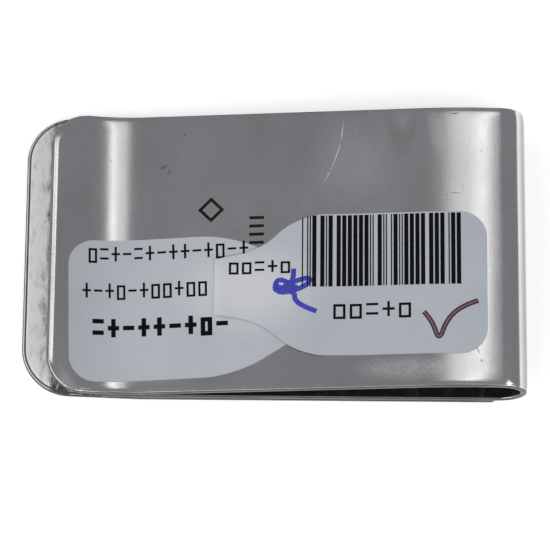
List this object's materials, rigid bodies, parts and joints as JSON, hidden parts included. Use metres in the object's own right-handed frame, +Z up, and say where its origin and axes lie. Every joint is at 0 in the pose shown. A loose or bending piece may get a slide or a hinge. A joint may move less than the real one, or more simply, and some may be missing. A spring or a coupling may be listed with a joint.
{
  "type": "money clip",
  "caption": "Bent-strip money clip lying face down: sprung back arm over a front leg, soldered face plate with gold trim, and a paper price tag.",
  "frame": {"origin": "centre of the clip's footprint on the surface it lies on, with its face down", "axes": "+X towards the bend, +Z up from the face to the back arm, +Y across the strip"},
  "size_m": [0.0548, 0.0323, 0.0074],
  "materials": {
    "strip_metal": "satin, scratched, grey tarnish in the hollows",
    "plate_metal": "rough, filed, dark tarnish by the solder",
    "solder": "dull and pitted",
    "overlay_metal": "satin with dark windows",
    "gold_fill": "polished, lightly worn",
    "tag_paper": "semi-matt coated paper"
  },
  "bodies": {
    "face": {"front_leg": "strip_metal", "face_plate": "plate_metal", "solder_fillet": "solder", "face_overlay": "overlay_metal", "gold_plaque": "gold_fill", "centre_boss": "gold_fill", "bead_row_lower": "gold_fill", "bead_row_upper": "gold_fill", "gold_bar_free_end": "gold_fill", "gold_bar_bend_end": "gold_fill"},
    "arm": {"back_arm": "strip_metal", "price_tag": "tag_paper"}
  },
  "joints": [
    {"name": "arm_flex", "type": "hinge", "parent": "face", "child": "arm", "pos_m": [0.02605, 0, 0.00416], "axis": [0, 1, 0], "range_deg": [0, 9], "stiffness_Nm_per_rad": 1.2, "springref_deg": -2.86}
  ]
}
